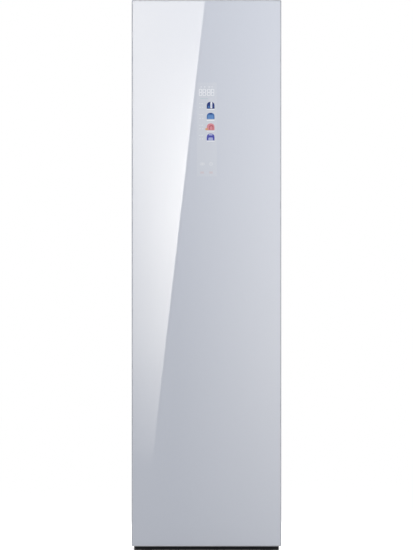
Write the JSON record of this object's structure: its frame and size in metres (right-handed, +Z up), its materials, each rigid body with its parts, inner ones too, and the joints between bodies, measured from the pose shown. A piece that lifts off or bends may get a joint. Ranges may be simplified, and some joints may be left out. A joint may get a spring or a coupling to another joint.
{
  "type": "clothes care steam cabinet",
  "caption": "Tall slim cabinet that steams, shakes and dries clothes: glass-fronted door, moving hanger bar, shelf, two lift-out water tanks and a lint filter over a heat-pump machine space.",
  "frame": {"origin": "on the floor, under the middle of the cabinet's whole width and depth", "axes": "+X to the right seen from the front, +Y to the back, +Z up; the door's front faces -Y"},
  "size_m": [0.5, 0.59, 1.84],
  "materials": {
    "trim_aluminium": "satin anodised",
    "silver_glass": "back-painted silver blue-grey, polished",
    "backing_board": "matt",
    "display_case": "matt",
    "foam": "rigid foam, cut faces",
    "white_liner": "fine grain",
    "gasket_grey": "matt",
    "press_grey": "matt",
    "shell_paint": "satin silver-grey paint",
    "rear_sheet": "galvanised",
    "steel_hardware": "zinc plated",
    "black_plastic": "matt",
    "feet_rubber": "matt",
    "hood_plastic": "satin",
    "lens_glass": "opal diffuser",
    "shelf_plastic": "satin",
    "bar_chrome": "polished",
    "crank_grey": "matt",
    "belt_rubber": "matt",
    "bay_plastic": "satin",
    "tank_clear": "translucent",
    "tank_trim": "satin",
    "machine_black": "satin black paint",
    "boiler_steel": "cast",
    "coil_aluminium": "mill finish",
    "copper": "copper",
    "housing_grey": "matt"
  },
  "bodies": {
    "cabinet": {"left_side_panel": "shell_paint", "right_side_panel": "shell_paint", "top_panel": "shell_paint", "back_panel": "rear_sheet", "rear_machine_cover": "rear_sheet", "panel_screws": "steel_hardware", "base_frame": "rear_sheet", "levelling_feet": "feet_rubber", "kick_plate": "black_plastic", "top_front_cover": "hood_plastic", "hinge_brackets": "steel_hardware", "front_frame": "shell_paint", "cabinet_insulation": "foam", "left_inner_wall": "white_liner", "right_inner_wall": "white_liner", "inner_back_wall": "white_liner", "ceiling_panel": "white_liner", "lamp_lens": "lens_glass", "chamber_floor": "white_liner", "hanger_guide_rods": "steel_hardware", "hanger_drive_frame": "steel_hardware", "hanger_motor": "steel_hardware", "drive_belt": "belt_rubber", "tank_bay": "bay_plastic", "filter_tower": "bay_plastic", "compressor": "machine_black", "evaporator": "coil_aluminium", "condenser": "coil_aluminium", "refrigerant_pipes": "copper", "blower_housing": "housing_grey", "steam_generator": "boiler_steel", "water_pumps": "black_plastic", "water_hoses": "belt_rubber", "control_box": "black_plastic", "power_inlet": "black_plastic"},
    "door": {"door_trim": "trim_aluminium", "door_glass": "silver_glass", "door_backing": "backing_board", "display_module": "display_case", "door_grip_profile": "trim_aluminium", "door_hinge_profile": "trim_aluminium", "door_end_caps": "white_liner", "door_foam": "foam", "door_liner": "white_liner", "door_gasket": "gasket_grey", "press_base": "press_grey"},
    "hanger_carriage": {"hanger_carriage": "black_plastic", "hanger_bar": "bar_chrome"},
    "press_cover": {"press_cover": "press_grey"},
    "drive_crank": {"drive_crank": "crank_grey"},
    "motor_pulley": {"motor_pulley": "steel_hardware"},
    "blower_wheel": {"blower_wheel": "crank_grey"},
    "supply_tank": {"supply_tank": "tank_clear"},
    "supply_tank_handle": {"supply_tank_handle": "tank_trim"},
    "supply_tank_lid": {"supply_tank_lid": "tank_trim"},
    "drain_tank": {"drain_tank": "tank_clear"},
    "drain_tank_handle": {"drain_tank_handle": "tank_trim"},
    "drain_tank_lid": {"drain_tank_lid": "tank_trim"},
    "lint_filter": {"lint_filter": "tank_trim"},
    "shelf": {"shelf": "shelf_plastic"}
  },
  "joints": [
    {"name": "door_hinge", "type": "hinge", "parent": "cabinet", "child": "door", "pos_m": [0.234, -0.27, 0.925], "axis": [0, 0, 1], "range_deg": [0, 115]},
    {"name": "press_cover_hinge", "type": "hinge", "parent": "door", "child": "press_cover", "pos_m": [0.16, -0.232, 1.09], "axis": [0, 0, -1], "range_deg": [0, 85]},
    {"name": "hanger_travel", "type": "slide", "parent": "cabinet", "child": "hanger_carriage", "axis": [1, 0, 0], "range_m": [-0.02, 0.02]},
    {"name": "crank_spin", "type": "hinge", "parent": "cabinet", "child": "drive_crank", "pos_m": [0, 0.01, 1.765], "axis": [0, 0, 1], "continuous": true},
    {"name": "motor_pulley_spin", "type": "hinge", "parent": "cabinet", "child": "motor_pulley", "pos_m": [0.06, 0.13, 1.765], "axis": [0, 0, 1], "continuous": true},
    {"name": "blower_spin", "type": "hinge", "parent": "cabinet", "child": "blower_wheel", "pos_m": [0.11, 0.134, 0.24], "axis": [0, 0, 1], "continuous": true},
    {"name": "supply_tank_lift", "type": "slide", "parent": "cabinet", "child": "supply_tank", "axis": [0, 0, 1], "range_m": [0, 0.24]},
    {"name": "supply_tank_handle_fold", "type": "hinge", "parent": "supply_tank", "child": "supply_tank_handle", "pos_m": [0.125, -0.152, 0.384], "axis": [-1, 0, 0], "range_deg": [0, 90]},
    {"name": "supply_tank_lid_flip", "type": "hinge", "parent": "supply_tank", "child": "supply_tank_lid", "pos_m": [0.125, -0.092, 0.381], "axis": [-1, 0, 0], "range_deg": [0, 100]},
    {"name": "drain_tank_lift", "type": "slide", "parent": "cabinet", "child": "drain_tank", "axis": [0, 0, 1], "range_m": [0, 0.24]},
    {"name": "drain_tank_handle_fold", "type": "hinge", "parent": "drain_tank", "child": "drain_tank_handle", "pos_m": [-0.125, -0.152, 0.384], "axis": [-1, 0, 0], "range_deg": [0, 90]},
    {"name": "drain_tank_lid_flip", "type": "hinge", "parent": "drain_tank", "child": "drain_tank_lid", "pos_m": [-0.125, -0.092, 0.381], "axis": [-1, 0, 0], "range_deg": [0, 100]},
    {"name": "lint_filter_lift", "type": "slide", "parent": "cabinet", "child": "lint_filter", "axis": [0, 0, 1], "range_m": [0, 0.12]},
    {"name": "shelf_slide", "type": "slide", "parent": "cabinet", "child": "shelf", "axis": [0, 1, 0], "range_m": [-0.14, 0]}
  ],
  "couplings": [
    {"joint": "motor_pulley_spin", "follows": "crank_spin", "ratio": 3}
  ]
}
